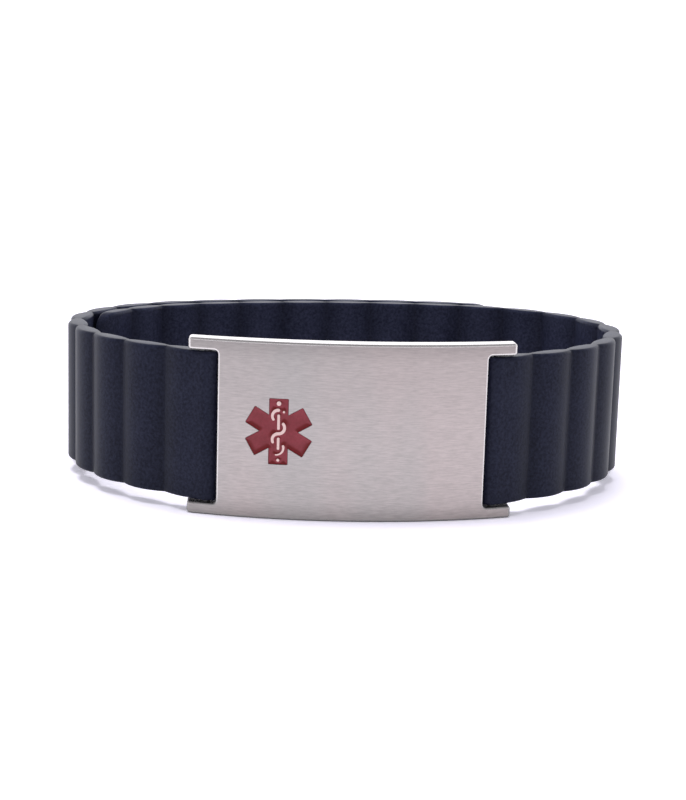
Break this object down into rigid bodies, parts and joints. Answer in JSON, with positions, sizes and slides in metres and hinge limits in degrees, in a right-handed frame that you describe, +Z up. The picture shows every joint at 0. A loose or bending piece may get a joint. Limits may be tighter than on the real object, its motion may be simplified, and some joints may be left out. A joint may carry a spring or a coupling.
{
  "type": "medical alert bracelet",
  "caption": "Medical alert bracelet: curved brushed steel plate with a red star inlay, and ribbed black silicone straps that lap over each other at the back.",
  "frame": {"origin": "bottom centre of the whole bracelet's box, which stands on its lower edge", "axes": "+X along the plate, +Y from the plate to the back of the loop, +Z up along the straps' width"},
  "size_m": [0.0832, 0.0636, 0.024],
  "materials": {
    "steel": "fine brushing along the plate, with bright broken edges",
    "enamel": "dull red resin enamel",
    "silicone": "matte black silicone with a faint blue tint",
    "pin_steel": "plain turned steel"
  },
  "bodies": {
    "root": {"id_plate": "steel", "star_enamel": "enamel", "left_strap": "silicone", "right_strap": "silicone", "left_pin": "pin_steel", "right_pin": "pin_steel"}
  },
  "joints": []
}
